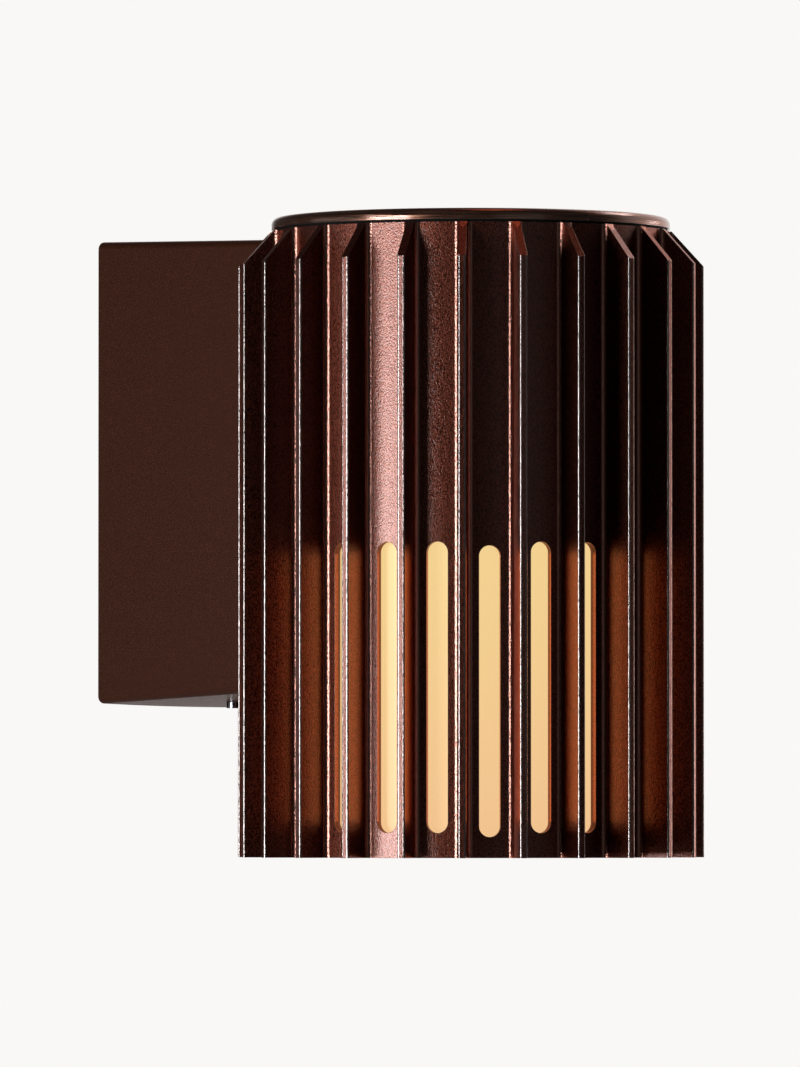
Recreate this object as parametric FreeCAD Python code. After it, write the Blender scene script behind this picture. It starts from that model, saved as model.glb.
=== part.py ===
import FreeCAD, Part
import math
import os

from FreeCAD import Vector

# Outdoor wall light with a finned round shade on a hollow wall box, in millimetres.
# The origin is the centre of the box's back on the wall. +Y points into the wall, -Y to the front, +Z up.
# Pieces on the shade are first drawn about the shade's own axis, with height 0 at its bottom edge.

# Shade: an extruded tube with fins, turned down at its top and bored out from below
fin_radius = 60.0
fin_pitch = 15.0
fin_thickness = 2.0
fin_corner = 0.4
fin_root_fillet = 1.4
tube_radius = 51.0
tube_wall = 2.2
neck_wall = 4.0
shade_height = 161.0
fin_top_step = 0.8
fin_top_fall = 9.0
neck_depth = 20.0

# Upright slots in the valleys between the fins, one of them milled a little lower
slot_width = 5.4
slot_low_end = 6.3
slot_high_end = 80.0
low_slot = 6
low_slot_drop = 1.0

# Wall box: a drafted casting with a hollow back and a saddle front
axis_reach = 114.0
box_width = 80.0
box_height = 122.0
box_top_drop = 2.2
box_draft = 2.0
box_wall = 3.0
box_edge_radius = 1.9
box_rim_radius = 0.4
box_underside_crown = 0.85
boss_radius = 4.5

# Clearances
fit_gap = 0.05
loose_gap = 0.3
seal_gap = 0.15
overrun = 1.5

# Screws, as shank and head radii
m4_radius = 2.0
m4_head_radius = 3.6
m4_head_height = 2.6
m4_countersink_radius = 4.0
m3_radius = 1.5
m3_head_radius = 2.8
m3_head_height = 2.0
socket_radius = 1.15
socket_depth = 2.2

# Wall bracket: bent sheet with a hook above and a screw ledge below
bracket_side_gap = 7.0
bracket_end_gap = 7.0
bracket_sheet = 2.0
bracket_corner = 4.0
ledge_inset = 11.0
ledge_reach = 34.0
hook_reach = 14.0
hook_rise = 3.2
catch_gap = 0.5
catch_depth = 4.0
catch_inset = 13.0
wall_slot_spacing = 50.0
wall_slot_length = 12.0
wall_hole_spacing = 80.0
wall_hole_radius = 2.5

# Set screws that lock the box on the bracket's ledge
grub_spacing = 28.0
grub_setback = 26.0
grub_length = 8.0
grub_proud = 1.5

# Cable inlet and the seals of box and shade
cable_hole_radius = 5.0
grommet_radius = 9.0
grommet_flange_radius = 11.5
grommet_flange = 1.4
grommet_length = 6.0
wall_gasket_width = 3.0
wall_gasket_depth = 3.0
saddle_gasket = 1.0
saddle_gasket_inset = 1.6
saddle_screw_edge = 15.7
saddle_screw_drop = 13.0
saddle_screw_length = 12.0
bush_drop = 10.5
bush_radius = 5.0
bush_bore = 3.6
bush_flange_radius = 6.4
bush_flange = 1.3

# Terminal block with three poles, on two pillars behind the saddle
block_width = 34.0
block_height = 18.0
block_depth = 16.0
block_back = 30.0
block_level = -21.0
pole_pitch = 11.0
pole_bore = 1.8
pole_screw_radius = 1.7
pole_screw_offset = 5.0
pole_screw_sink = 0.6
pole_screw_length = 6.4
pillar_radius = 3.6
block_screw_length = 22.0

# Earth screw, its boss and the lug under its head
earth_edge = 18.0
earth_level = 30.0
earth_boss_rise = 6.0
earth_screw_length = 10.0
lug_radius = 3.9
lug_sheet = 0.8
lug_tongue = 6.0
lug_barrel = 1.9

# Leads and the bends on their way
lead_radius = 1.1
lead_in_block = 6.0
lead_side_in_bush = 2.2
lead_side_in_holder = 5.0
lead_in_holder = 4.0
lead_rise = 24.0
lead_lean = 3.0
lead_lean_drop = 18.0
lead_gather_share = 0.6
lead_bend_share = 0.45
lead_past_bush = 6.0
lead_before_holder = 22.0
lead_slack = 1.5
earth_lead_rise = 11.0
earth_lead_run_in = 10.0
earth_lead_dip = 19.0

# Top cap with spigot and screw bosses
cap_overhang = 0.35
cap_thickness = 2.9
cap_edge_radius = 1.8
cap_gasket = 0.6
cap_gasket_width = 3.0
spigot_depth = 4.0
spigot_wall = 2.3
cap_boss_inset = 11.0
cap_boss_count = 3
cap_boss_radius = 4.2
cap_screw_grip = 12.0

# Holder plate under the neck, with the skirt that carries the diffuser
plate_thickness = 3.0
plate_gasket = 1.0
plate_wire_hole = 7.0
skirt_wall = 2.6
skirt_depth = 9.0
groove_depth = 1.0
groove_height = 1.8

# Diffuser: an opal cup, open upwards
diffuser_gap = 1.3
diffuser_wall = 2.0
diffuser_lift = 3.0
diffuser_round = 2.5

# Lampholder for an E27 lamp
holder_radius = 19.5
holder_length = 38.0
holder_ceiling = 6.0
holder_bore = 14.05
holder_mouth_chamfer = 1.2
holder_mouth_radius = 15.8
holder_mouth_depth = 5.4
holder_wire_hole = 1.7
holder_screw_side = 12.5
sleeve_wall = 0.6
sleeve_length = 20.0
sleeve_below_ceiling = 5.0
contact_length = 16.0
contact_width = 6.0
contact_drop = 1.3
contact_sheet = 0.5

# Lamp with an E27 cap
lamp_gap_below = 20.0
lamp_gap_above = 0.3
lamp_cap_radius = 13.25
lamp_cap_length = 22.0
lamp_cap_shoulder = 9.5
lamp_cap_slope = 2.5
lamp_contact_radius = 4.6
lamp_contact_height = 1.6
lamp_insulator_height = 2.8
lamp_neck_radius = 14.5
globe_radius = 30.0
globe_band = 7.0
globe_wall = 1.5
housing_wall = 2.2
housing_lead_in = 6.0
board_thickness = 1.6

# Heights above the shade's bottom edge, worked out from the sizes above
bore_height = shade_height - neck_depth
fin_side_height = shade_height - fin_top_fall
bush_height = shade_height - bush_drop
cap_seat = shade_height + cap_gasket
cap_top = cap_seat + cap_thickness
plate_top = bore_height - plate_gasket
plate_underside = plate_top - plate_thickness
holder_inside_top = plate_underside - holder_ceiling
lamp_top = holder_inside_top - contact_drop - lamp_gap_above
lamp_bottom = diffuser_lift + diffuser_wall + lamp_gap_below

# Radii about the shade's axis, worked out from the sizes above
cap_radius = tube_radius + cap_overhang
fin_top_radius = tube_radius + fin_top_step
bore_radius = tube_radius - tube_wall
diffuser_radius = bore_radius - diffuser_gap
neck_radius = tube_radius - neck_wall
saddle_radius = tube_radius + saddle_gasket + 2 * seal_gap
saddle_inside_radius = saddle_radius + box_wall
skirt_radius = diffuser_radius - diffuser_wall - 2 * loose_gap
cap_boss_circle = neck_radius - cap_boss_inset

# The fins stand as far round as the box's sides let them, in pairs
side_angle = 180 - math.degrees(math.asin(box_width / 2 / tube_radius))
fin_count = 2 * math.floor(side_angle / fin_pitch + 0.5)

# Widths and places behind the shade, worked out from the box's width and height
bracket_width = box_width - 2 * bracket_side_gap
bracket_height = box_height - 2 * bracket_end_gap
ledge_width = bracket_width - 2 * ledge_inset
catch_width = bracket_width - 2 * catch_inset
earth_across = box_width / 2 - earth_edge

# Position of the shade's bottom centre
shade_base = Vector(0, -axis_reach, box_height / 2 + box_top_drop - cap_top)
vertical = Vector(0, 0, 1)
to_wall = Vector(0, 1, 0)
to_front = Vector(0, -1, 0)
to_side = Vector(1, 0, 0)


def save(name, *solids):
    """Writes the solids of one node."""
    shape = solids[0] if len(solids) == 1 else Part.makeCompound(list(solids))
    shape.exportStep(f"parts/{name}.step")


def on_shade(shape):
    """Moves a shape that was drawn about the shade's axis to its place in front of the wall."""
    placed = shape.copy()
    placed.translate(shade_base)
    return placed


def wire(start, *steps):
    """Closed outline: each step is a point to draw a line to, or a pair (through, end) for an arc."""
    edges = []
    here = start
    for step in steps:
        if isinstance(step, tuple):
            through, end = step
            edges.append(Part.Arc(here, through, end).toShape())
        else:
            end = step
            edges.append(Part.LineSegment(here, end).toShape())
        here = end
    if (here - start).Length > 0:
        edges.append(Part.LineSegment(here, start).toShape())
    return Part.Wire(edges)


def turned(start, *steps):
    """Solid of revolution about the shade's axis from an outline in radius (X) and height (Z)."""
    face = Part.Face(wire(start, *steps))
    return face.revolve(Vector(0, 0, 0), vertical, 360)


def at(radius, height):
    """Point of a turned outline."""
    return Vector(radius, 0, height)


def rod(radius, start, direction, length):
    return Part.makeCylinder(radius, length, start, direction)


def pipe(inner, outer, start, direction, length):
    return rod(outer, start, direction, length).cut(rod(inner, start, direction, length))


def ring(inner, outer, low, high):
    """Flat ring about the shade's axis."""
    return pipe(inner, outer, Vector(0, 0, low), vertical, high - low)


def round_about(shape, count):
    """Copies of a shape, evenly spaced about the shade's axis."""
    copies = []
    for index in range(count):
        copy = shape.copy()
        copy.rotate(Vector(0, 0, 0), vertical, index * 360 / count)
        copies.append(copy)
    return copies


def polar(radius, angle):
    """Point about the shade's axis. Angle 0 is the front and it grows towards +X."""
    turn = math.radians(angle)
    return Vector(radius * math.sin(turn), -radius * math.cos(turn), 0)


def fin_outline(angle):
    """Outline points of one fin, from its root on the tube round the tip to its other root."""
    outward = polar(1, angle)
    across = polar(1, angle + 90)
    half = fin_thickness / 2

    def spot(out, side):
        return outward * out + across * side

    fillet_side = half + fin_root_fillet
    fillet_out = math.sqrt((tube_radius + fin_root_fillet) ** 2 - fillet_side ** 2)
    root_share = tube_radius / (tube_radius + fin_root_fillet)
    corner_out = fin_radius - fin_corner
    corner_side = half - fin_corner
    corner_bulge = fin_corner * math.sqrt(0.5)

    def fillet_middle(sign):
        centre = spot(fillet_out, sign * fillet_side)
        to_root = spot(-fillet_out, -sign * fillet_side).normalize()
        to_flank = spot(0, -sign)
        return centre + (to_root + to_flank).normalize() * fin_root_fillet

    def tip_middle(sign):
        return spot(corner_out + corner_bulge, sign * (corner_side + corner_bulge))

    root = spot(fillet_out * root_share, -fillet_side * root_share)
    steps = [
        (fillet_middle(-1), spot(fillet_out, -half)),
        spot(corner_out, -half),
        (tip_middle(-1), spot(fin_radius, -corner_side)),
        spot(fin_radius, corner_side),
        (tip_middle(1), spot(corner_out, half)),
        spot(fillet_out, half),
        (fillet_middle(1), spot(fillet_out * root_share, fillet_side * root_share)),
    ]
    return root, steps


def fin_angles():
    return [(index - (fin_count - 1) / 2) * fin_pitch for index in range(fin_count)]


def shade_section():
    """Closed outline of the extrusion: all fins, the valleys between them and the smooth back."""
    angles = fin_angles()
    first_root, steps = fin_outline(angles[0])
    outline = list(steps)
    for angle in angles[1:]:
        root, steps = fin_outline(angle)
        outline.append((polar(tube_radius, angle - fin_pitch / 2), root))
        outline.extend(steps)
    outline.append((polar(tube_radius, 180), first_root))
    return wire(first_root, *outline)


def slot_cutter(low, high):
    """Upright slot with round ends, cut outwards through the tube at the front."""
    half = slot_width / 2
    depth = neck_radius
    low_centre = low + half
    high_centre = high - half
    face = Part.Face(wire(
        Vector(-half, -depth, low_centre),
        (Vector(0, -depth, low), Vector(half, -depth, low_centre)),
        Vector(half, -depth, high_centre),
        (Vector(0, -depth, high), Vector(-half, -depth, high_centre)),
    ))
    return face.extrude(to_front * (tube_radius + overrun - depth))


def slot_cutters():
    cutters = []
    slot_count = fin_count - 1
    for index in range(slot_count):
        drop = low_slot_drop if index == low_slot else 0
        cutter = slot_cutter(slot_low_end - drop, slot_high_end - drop)
        cutter.rotate(Vector(0, 0, 0), vertical, (index - (slot_count - 1) / 2) * fin_pitch)
        cutters.append(cutter)
    return cutters


def fin_top_cutter():
    """Turned cutter that slopes the fins down from the tube's top to their sides."""
    fall = (shade_height - fin_side_height) / (fin_radius - fin_top_radius)
    return turned(
        at(fin_top_radius - overrun, shade_height + overrun * fall),
        at(fin_radius + overrun, fin_side_height - overrun * fall),
        at(fin_radius + overrun, shade_height + overrun * fall),
    )


def saddle_screw_heights():
    """Heights of the three saddle screws: above the box's bottom, under the neck and halfway."""
    low = -box_height / 2 - shade_base.z + saddle_screw_edge
    high = bore_height - saddle_screw_drop
    return low, (low + high) / 2, high


def saddle_holes_in_tube():
    """Countersunk screw holes and the bush hole through the tube's back."""
    holes = []
    for height in saddle_screw_heights():
        start = Vector(0, bore_radius - overrun, height)
        sink = m4_countersink_radius - m4_radius
        cone = Part.makeCone(
            m4_countersink_radius + fit_gap, m4_radius + fit_gap, sink, Vector(0, bore_radius, height), to_wall)
        mouth = rod(m4_countersink_radius + fit_gap, start, to_wall, overrun)
        shank = rod(m4_radius + fit_gap, start, to_wall, tube_wall + 2 * overrun)
        holes.extend([cone, mouth, shank])
    holes.append(rod(bush_radius + seal_gap, Vector(0, neck_radius - overrun, bush_height), to_wall,
                     neck_wall + 2 * overrun))
    return holes


def finned_shade():
    body = Part.Face(shade_section()).extrude(vertical * shade_height)
    neck = rod(neck_radius, Vector(0, 0, -overrun), vertical, shade_height + 2 * overrun)
    bore = rod(bore_radius, Vector(0, 0, -overrun), vertical, bore_height + overrun)
    body = body.cut([neck, bore, fin_top_cutter()])
    body = body.cut(slot_cutters())
    return on_shade(body.cut(saddle_holes_in_tube()))


def cap_screw_places():
    return round_about(Part.Vertex(polar(cap_boss_circle, 0)), cap_boss_count)


def cap_columns(radius, low, length):
    """Upright rods at the cap's screw places."""
    return [rod(radius, place.Point + vertical * low, vertical, length) for place in cap_screw_places()]


def top_cap():
    bulge = cap_edge_radius * math.sqrt(0.5)
    round_radius = cap_radius - cap_edge_radius
    round_height = cap_top - cap_edge_radius
    spigot_radius = neck_radius - loose_gap
    body = turned(
        at(0, cap_seat),
        at(spigot_radius - spigot_wall, cap_seat),
        at(spigot_radius - spigot_wall, cap_seat - spigot_depth),
        at(spigot_radius, cap_seat - spigot_depth),
        at(spigot_radius, cap_seat),
        at(cap_radius, cap_seat),
        at(cap_radius, round_height),
        (at(round_radius + bulge, round_height + bulge), at(round_radius, cap_top)),
        at(0, cap_top),
    )
    boss_length = cap_seat - plate_top
    body = body.fuse(cap_columns(cap_boss_radius, plate_top, boss_length))
    return on_shade(body.cut(cap_columns(m4_radius + fit_gap, plate_top, cap_screw_grip + fit_gap)))


def cap_gasket_ring():
    outer = tube_radius - loose_gap
    return on_shade(ring(outer - cap_gasket_width, outer, shade_height, cap_seat))


def holder_plate():
    groove_centre = plate_underside - skirt_depth / 2
    groove_low = groove_centre - groove_height / 2
    groove_high = groove_centre + groove_height / 2
    plate_radius = bore_radius - loose_gap
    body = turned(
        at(plate_wire_hole, plate_underside),
        at(skirt_radius - skirt_wall, plate_underside),
        at(skirt_radius - skirt_wall, plate_underside - skirt_depth),
        at(skirt_radius, plate_underside - skirt_depth),
        at(skirt_radius, groove_low),
        at(skirt_radius - groove_depth, groove_low),
        at(skirt_radius - groove_depth, groove_high),
        at(skirt_radius, groove_high),
        at(skirt_radius, plate_underside),
        at(plate_radius, plate_underside),
        at(plate_radius, plate_top),
        at(plate_wire_hole, plate_top),
    )
    holes = cap_columns(m4_radius + seal_gap, plate_underside, plate_thickness)
    holes += holder_screw_columns(m3_radius + seal_gap, plate_underside, plate_thickness)
    return on_shade(body.cut(holes))


def holder_gasket():
    return on_shade(ring(neck_radius + seal_gap, bore_radius - loose_gap, plate_top, bore_height))


def holder_plate_screws():
    screws = []
    for place in cap_screw_places():
        seat = place.Point + vertical * plate_underside
        head = rod(m4_head_radius, seat - vertical * m4_head_height, vertical, m4_head_height)
        shank = rod(m4_radius, seat, vertical, plate_thickness + cap_screw_grip)
        screws.append(on_shade(head.fuse(shank)))
    return screws


def diffuser_seal():
    """Round rubber ring in the skirt's groove, that the diffuser is pushed over."""
    inner = skirt_radius - groove_depth + fit_gap
    outer = diffuser_radius - diffuser_wall - fit_gap
    half = (outer - inner) / 2
    height = plate_underside - skirt_depth / 2
    seal = Part.makeTorus(inner + half, half, Vector(0, 0, height), vertical)
    return on_shade(seal)


def diffuser_cup():
    inner = diffuser_radius - diffuser_wall
    floor = diffuser_lift + diffuser_wall
    rim = plate_underside - 2 * loose_gap
    outer_bulge = diffuser_round * (1 - math.sqrt(0.5))
    inner_round = diffuser_round - diffuser_wall
    inner_bulge = inner_round * (1 - math.sqrt(0.5))
    cup = turned(
        at(0, diffuser_lift),
        at(diffuser_radius - diffuser_round, diffuser_lift),
        (at(diffuser_radius - outer_bulge, diffuser_lift + outer_bulge),
         at(diffuser_radius, diffuser_lift + diffuser_round)),
        at(diffuser_radius, rim),
        at(inner, rim),
        at(inner, floor + inner_round),
        (at(inner - inner_bulge, floor + inner_bulge), at(inner - inner_round, floor)),
        at(0, floor),
    )
    return on_shade(cup)


def holder_screw_columns(radius, low, length):
    """Upright rods in front of and behind the lampholder's axis."""
    return [rod(radius, Vector(0, side, low), vertical, length) for side in (-holder_screw_side, holder_screw_side)]


def holder_wire_columns(radius, low, length):
    """Upright rods at both sides of the lampholder's axis."""
    return [rod(radius, Vector(side, 0, low), vertical, length)
            for side in (-lead_side_in_holder, lead_side_in_holder)]


def lampholder_shell():
    mouth = plate_underside - holder_length
    body = turned(
        at(0, holder_inside_top),
        at(holder_bore, holder_inside_top),
        at(holder_bore, mouth + holder_mouth_depth),
        at(holder_mouth_radius, mouth + holder_mouth_depth),
        at(holder_mouth_radius, mouth),
        at(holder_radius - holder_mouth_chamfer, mouth),
        at(holder_radius, mouth + holder_mouth_chamfer),
        at(holder_radius, plate_underside),
        at(0, plate_underside),
    )
    screw_depth = holder_ceiling - loose_gap
    holes = holder_screw_columns(m3_radius + fit_gap, plate_underside - screw_depth, screw_depth)
    holes += holder_wire_columns(holder_wire_hole, holder_inside_top, holder_ceiling)
    return on_shade(body.cut(holes))


def lampholder_screws():
    screws = []
    length = plate_thickness + holder_ceiling - 2 * loose_gap
    heads = holder_screw_columns(m3_head_radius, plate_top, m3_head_height)
    shanks = holder_screw_columns(m3_radius, plate_top - length, length)
    for head, shank in zip(heads, shanks):
        screws.append(on_shade(head.fuse(shank)))
    return screws


def lampholder_thread():
    """Metal sleeve that the lamp's cap screws into."""
    outer = holder_bore - fit_gap
    high = holder_inside_top - sleeve_below_ceiling
    return on_shade(ring(outer - sleeve_wall, outer, high - sleeve_length, high))


def lampholder_contact():
    """Bent contact strip: two ends flat on the ceiling and a middle that stands down to the lamp."""
    half = contact_length / 2
    top = holder_inside_top
    low = top - contact_drop
    outline = wire(
        at(-half, top),
        at(-half, top - contact_sheet),
        at(-half / 2, top - contact_sheet),
        at(-half / 4, low),
        at(half / 4, low),
        at(half / 2, top - contact_sheet),
        at(half, top - contact_sheet),
        at(half, top),
        at(half / 2, top),
        at(half / 4, low + contact_sheet),
        at(-half / 4, low + contact_sheet),
        at(-half / 2, top),
    )
    strip = Part.Face(outline).extrude(to_wall * contact_width)
    strip.translate(to_front * (contact_width / 2))
    strip.rotate(Vector(0, 0, 0), vertical, 90)
    return on_shade(strip)


def lamp_contact():
    bottom = lamp_top - lamp_contact_height
    chamfer = lamp_contact_height / 2
    return on_shade(turned(
        at(0, bottom),
        at(lamp_contact_radius, bottom),
        at(lamp_contact_radius, lamp_top - chamfer),
        at(lamp_contact_radius - chamfer, lamp_top),
        at(0, lamp_top),
    ))


def lamp_insulator():
    top = lamp_top - lamp_contact_height
    return on_shade(turned(
        at(0, top - lamp_insulator_height),
        at(lamp_cap_shoulder, top - lamp_insulator_height),
        at(lamp_contact_radius, top),
        at(0, top),
    ))


def lamp_cap_top():
    return lamp_top - lamp_contact_height - lamp_insulator_height


def lamp_cap():
    top = lamp_cap_top()
    return on_shade(turned(
        at(0, top - lamp_cap_length),
        at(lamp_cap_radius, top - lamp_cap_length),
        at(lamp_cap_radius, top - lamp_cap_slope),
        at(lamp_cap_shoulder, top),
        at(0, top),
    ))


def housing_profile(inset, top, bottom):
    """Flared side of the lamp's housing, from its neck down to the globe."""
    neck = lamp_neck_radius - inset
    wide = globe_radius - inset
    middle = Vector((neck + wide) / 2 + globe_wall, 0, (top - housing_lead_in + bottom) / 2)
    return at(neck, top), at(neck, top - housing_lead_in), (middle, at(wide, bottom))


def lamp_housing():
    top = lamp_cap_top() - lamp_cap_length
    bottom = lamp_bottom + globe_radius + globe_band
    inner_top = top - housing_wall
    neck, shoulder, flare = housing_profile(0, top, bottom)
    inner_neck, inner_shoulder, inner_flare = housing_profile(housing_wall, inner_top, bottom)
    body = turned(neck, shoulder, flare, at(0, bottom), at(0, top))
    hollow = turned(inner_neck, inner_shoulder, inner_flare, at(0, bottom), at(0, inner_top))
    return on_shade(body.cut(hollow))


def lamp_board():
    """Round board with the lamp's light sources, let into the globe's band against the housing's rim."""
    bottom = lamp_bottom + globe_radius + globe_band - board_thickness
    radius = globe_radius - globe_wall - fit_gap
    return on_shade(rod(radius, Vector(0, 0, bottom), vertical, board_thickness))


def lamp_globe():
    centre = lamp_bottom + globe_radius
    rim = centre + globe_band
    inner = globe_radius - globe_wall
    slant = math.sqrt(0.5)
    return on_shade(turned(
        at(0, lamp_bottom),
        (at(globe_radius * slant, centre - globe_radius * slant), at(globe_radius, centre)),
        at(globe_radius, rim),
        at(inner, rim),
        at(inner, centre),
        (at(inner * slant, centre - inner * slant), at(0, lamp_bottom + globe_wall)),
    ))


def box_block(inset, start, crown):
    """Solid block with the box's draft, from near the wall to the shade's axis, set in from the outside."""
    def half_width(setback):
        return box_width / 2 - inset - setback * math.tan(math.radians(box_draft))

    def half_height(setback):
        return box_height / 2 - inset - setback * math.tan(math.radians(box_draft))

    end = axis_reach
    return Part.makeWedge(
        -half_width(end), -end, -half_height(end) - crown, -half_height(start) - crown, -half_width(start),
        half_width(end), -start, half_height(end), half_height(start), half_width(start))


def crown_core():
    """Wide lying cylinder whose lowest part forms the crowned underside."""
    half_width = box_width / 2
    radius = (half_width ** 2 + box_underside_crown ** 2) / (2 * box_underside_crown)
    draft = math.radians(box_draft)
    along = Vector(0, -math.cos(draft), math.sin(draft))
    upward = Vector(0, math.sin(draft), math.cos(draft))
    lowest = Vector(0, 0, -box_height / 2 - box_underside_crown) - along * box_width
    return rod(radius, lowest + upward * radius, along, 2 * box_width + axis_reach)


def outer_block():
    """The box's outside before its saddle is cut, with rounded edges and a rim just broken at the wall."""
    block = box_block(0, 0, box_underside_crown).common(crown_core()).Solids[0]
    long_edges = [edge for edge in block.Edges if edge.BoundBox.YLength > axis_reach / 2]
    block = block.makeFillet(box_edge_radius, long_edges)
    rim = [edge for edge in block.Edges if edge.BoundBox.YMin > -overrun]
    return block.makeFillet(box_rim_radius, rim)


def shade_core(radius):
    """Upright cylinder about the shade's axis, longer than the box is high."""
    start = Vector(0, -axis_reach, -box_height)
    return rod(radius, start, vertical, 2 * box_height)


def underside_level(across, setback):
    """Height of the box's underside at one place."""
    half_width = box_width / 2
    crown = box_underside_crown * (1 - (across / half_width) ** 2)
    return -box_height / 2 - crown + setback * math.tan(math.radians(box_draft))


def saddle_screw_levels():
    return [shade_base.z + height for height in saddle_screw_heights()]


def bush_level():
    return shade_base.z + bush_height


def saddle_surface(across):
    """Distance from the shade's axis plane to the saddle's outer face at one side offset."""
    return -axis_reach + math.sqrt(saddle_radius ** 2 - across ** 2)


def block_pillars(radius, tip, root):
    """Rods from a plane in front of the wall to the saddle, at the terminal block's two screws."""
    return [rod(radius, Vector(side, -tip, block_level), to_front, root - tip)
            for side in (-pole_pitch / 2, pole_pitch / 2)]


def grub_places():
    return (-grub_spacing / 2, grub_spacing / 2)


def box_bosses():
    """Bosses inside the box for its screws, before they are drilled."""
    bosses = []
    saddle = axis_reach - saddle_radius
    screw_end = axis_reach - bore_radius - saddle_screw_length
    for level in saddle_screw_levels():
        bosses.append(rod(boss_radius, Vector(0, -screw_end, level), to_front, saddle - screw_end))
    block_face = block_back + block_depth
    bosses.extend(block_pillars(pillar_radius, block_face, saddle))
    earth_root = -saddle_surface(earth_across)
    earth_face = earth_root - box_wall - earth_boss_rise
    bosses.append(rod(boss_radius, Vector(-earth_across, -earth_face, earth_level), to_front,
                      earth_root - earth_face))
    for across in grub_places():
        low = underside_level(across, grub_setback)
        bosses.append(rod(boss_radius, Vector(across, -grub_setback, low + box_wall / 2), vertical, box_wall))
    return bosses


def box_catch():
    """Bar under the box's top that hooks behind the bracket's upturned lip."""
    lip_front = hook_reach - bracket_sheet - catch_gap
    bottom = bracket_height / 2 + catch_gap
    corner = Vector(-catch_width / 2, -lip_front, bottom)
    return Part.makeBox(catch_width, catch_depth, box_height / 2 - bottom - box_wall / 2, corner)


def box_drillings():
    holes = []
    saddle = axis_reach - saddle_radius
    screw_end = axis_reach - bore_radius - saddle_screw_length
    for level in saddle_screw_levels():
        holes.append(rod(m4_radius + fit_gap, Vector(0, -screw_end + overrun, level), to_front,
                         saddle - screw_end + 2 * overrun))
    holes.append(rod(bush_radius + seal_gap, Vector(0, -saddle + box_wall + overrun, bush_level()), to_front,
                     box_wall + 2 * overrun))
    block_face = block_back + block_depth
    screw_tip = block_back + block_screw_length
    holes.extend(block_pillars(m3_radius + fit_gap, block_face - overrun, screw_tip + fit_gap))
    earth_face = -saddle_surface(earth_across) - box_wall - earth_boss_rise
    holes.append(rod(m4_radius + fit_gap, Vector(-earth_across, -earth_face + overrun, earth_level), to_front,
                     earth_screw_length))
    for across in grub_places():
        low = underside_level(across, grub_setback)
        holes.append(rod(m4_radius + fit_gap, Vector(across, -grub_setback, low - overrun), vertical,
                         2 * box_wall + 2 * overrun))
    return holes


def wall_box():
    block = outer_block()
    hollow = box_block(box_wall, -overrun, 0).cut(shade_core(saddle_inside_radius))
    shell = block.cut(hollow)
    for boss in box_bosses() + [box_catch()]:
        shell = shell.fuse(boss)
    return shell.cut([shade_core(saddle_radius)] + box_drillings()).removeSplitter()


def box_grub_screws():
    screws = []
    for across in grub_places():
        low = underside_level(across, grub_setback) - grub_proud
        start = Vector(across, -grub_setback, low)
        screw = rod(m4_radius, start, vertical, grub_length)
        socket = Part.Face(Part.makePolygon(
            [start + Vector(socket_radius * math.cos(math.radians(turn)),
                            socket_radius * math.sin(math.radians(turn)), 0) for turn in range(0, 361, 60)]))
        screws.append(screw.cut(socket.extrude(vertical * socket_depth)))
    return screws


def rounded_plate(width, height, corner, depth):
    """Upright plate with round corners, with its back on the wall plane."""
    half_width = width / 2
    half_height = height / 2
    bulge = corner * (1 - math.sqrt(0.5))

    def spot(across, up):
        return Vector(across, 0, up)

    face = Part.Face(wire(
        spot(-half_width + corner, half_height),
        spot(half_width - corner, half_height),
        (spot(half_width - bulge, half_height - bulge), spot(half_width, half_height - corner)),
        spot(half_width, -half_height + corner),
        (spot(half_width - bulge, -half_height + bulge), spot(half_width - corner, -half_height)),
        spot(-half_width + corner, -half_height),
        (spot(-half_width + bulge, -half_height + bulge), spot(-half_width, -half_height + corner)),
        spot(-half_width, half_height - corner),
        (spot(-half_width + bulge, half_height - bulge), spot(-half_width + corner, half_height)),
    ))
    return face.extrude(to_front * depth)


def wall_slot(centre):
    """Level slot through the bracket for one wall screw."""
    half = wall_slot_length / 2 - wall_hole_radius
    start = Vector(0, overrun, 0)
    depth = bracket_sheet + 2 * overrun
    ends = [rod(wall_hole_radius, start + to_side * (centre + side), to_front, depth) for side in (-half, half)]
    middle = Part.makeBox(2 * half, depth, 2 * wall_hole_radius,
                          Vector(centre - half, overrun - depth, -wall_hole_radius))
    return ends + [middle]


def wall_bracket():
    plate = rounded_plate(bracket_width, bracket_height, bracket_corner, bracket_sheet)
    half_height = bracket_height / 2
    ledge = Part.makeBox(ledge_width, ledge_reach, bracket_sheet,
                         Vector(-ledge_width / 2, -ledge_reach, -half_height))
    hook = Part.makeBox(ledge_width, hook_reach, bracket_sheet,
                        Vector(-ledge_width / 2, -hook_reach, half_height - bracket_sheet))
    lip = Part.makeBox(ledge_width, bracket_sheet, hook_rise,
                       Vector(-ledge_width / 2, -hook_reach, half_height))
    cuts = wall_slot(-wall_slot_spacing / 2) + wall_slot(wall_slot_spacing / 2)
    depth = bracket_sheet + 2 * overrun
    for side in (-wall_hole_spacing / 2, wall_hole_spacing / 2):
        cuts.append(rod(wall_hole_radius, Vector(0, overrun, side), to_front, depth))
    cuts.append(rod(grommet_radius + seal_gap, Vector(0, overrun, 0), to_front, depth))
    return plate.fuse([ledge, hook, lip]).cut(cuts).removeSplitter()


def wall_gasket():
    """Foam ring between the bracket's edge and the inside of the box's rim."""
    width = box_width - 2 * box_wall - 2 * loose_gap
    height = box_height - 2 * box_wall - 2 * loose_gap
    outer = rounded_plate(width, height, bracket_corner, wall_gasket_depth)
    inner = rounded_plate(width - 2 * wall_gasket_width, height - 2 * wall_gasket_width, bracket_corner,
                          wall_gasket_depth)
    return outer.cut(inner)


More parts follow.
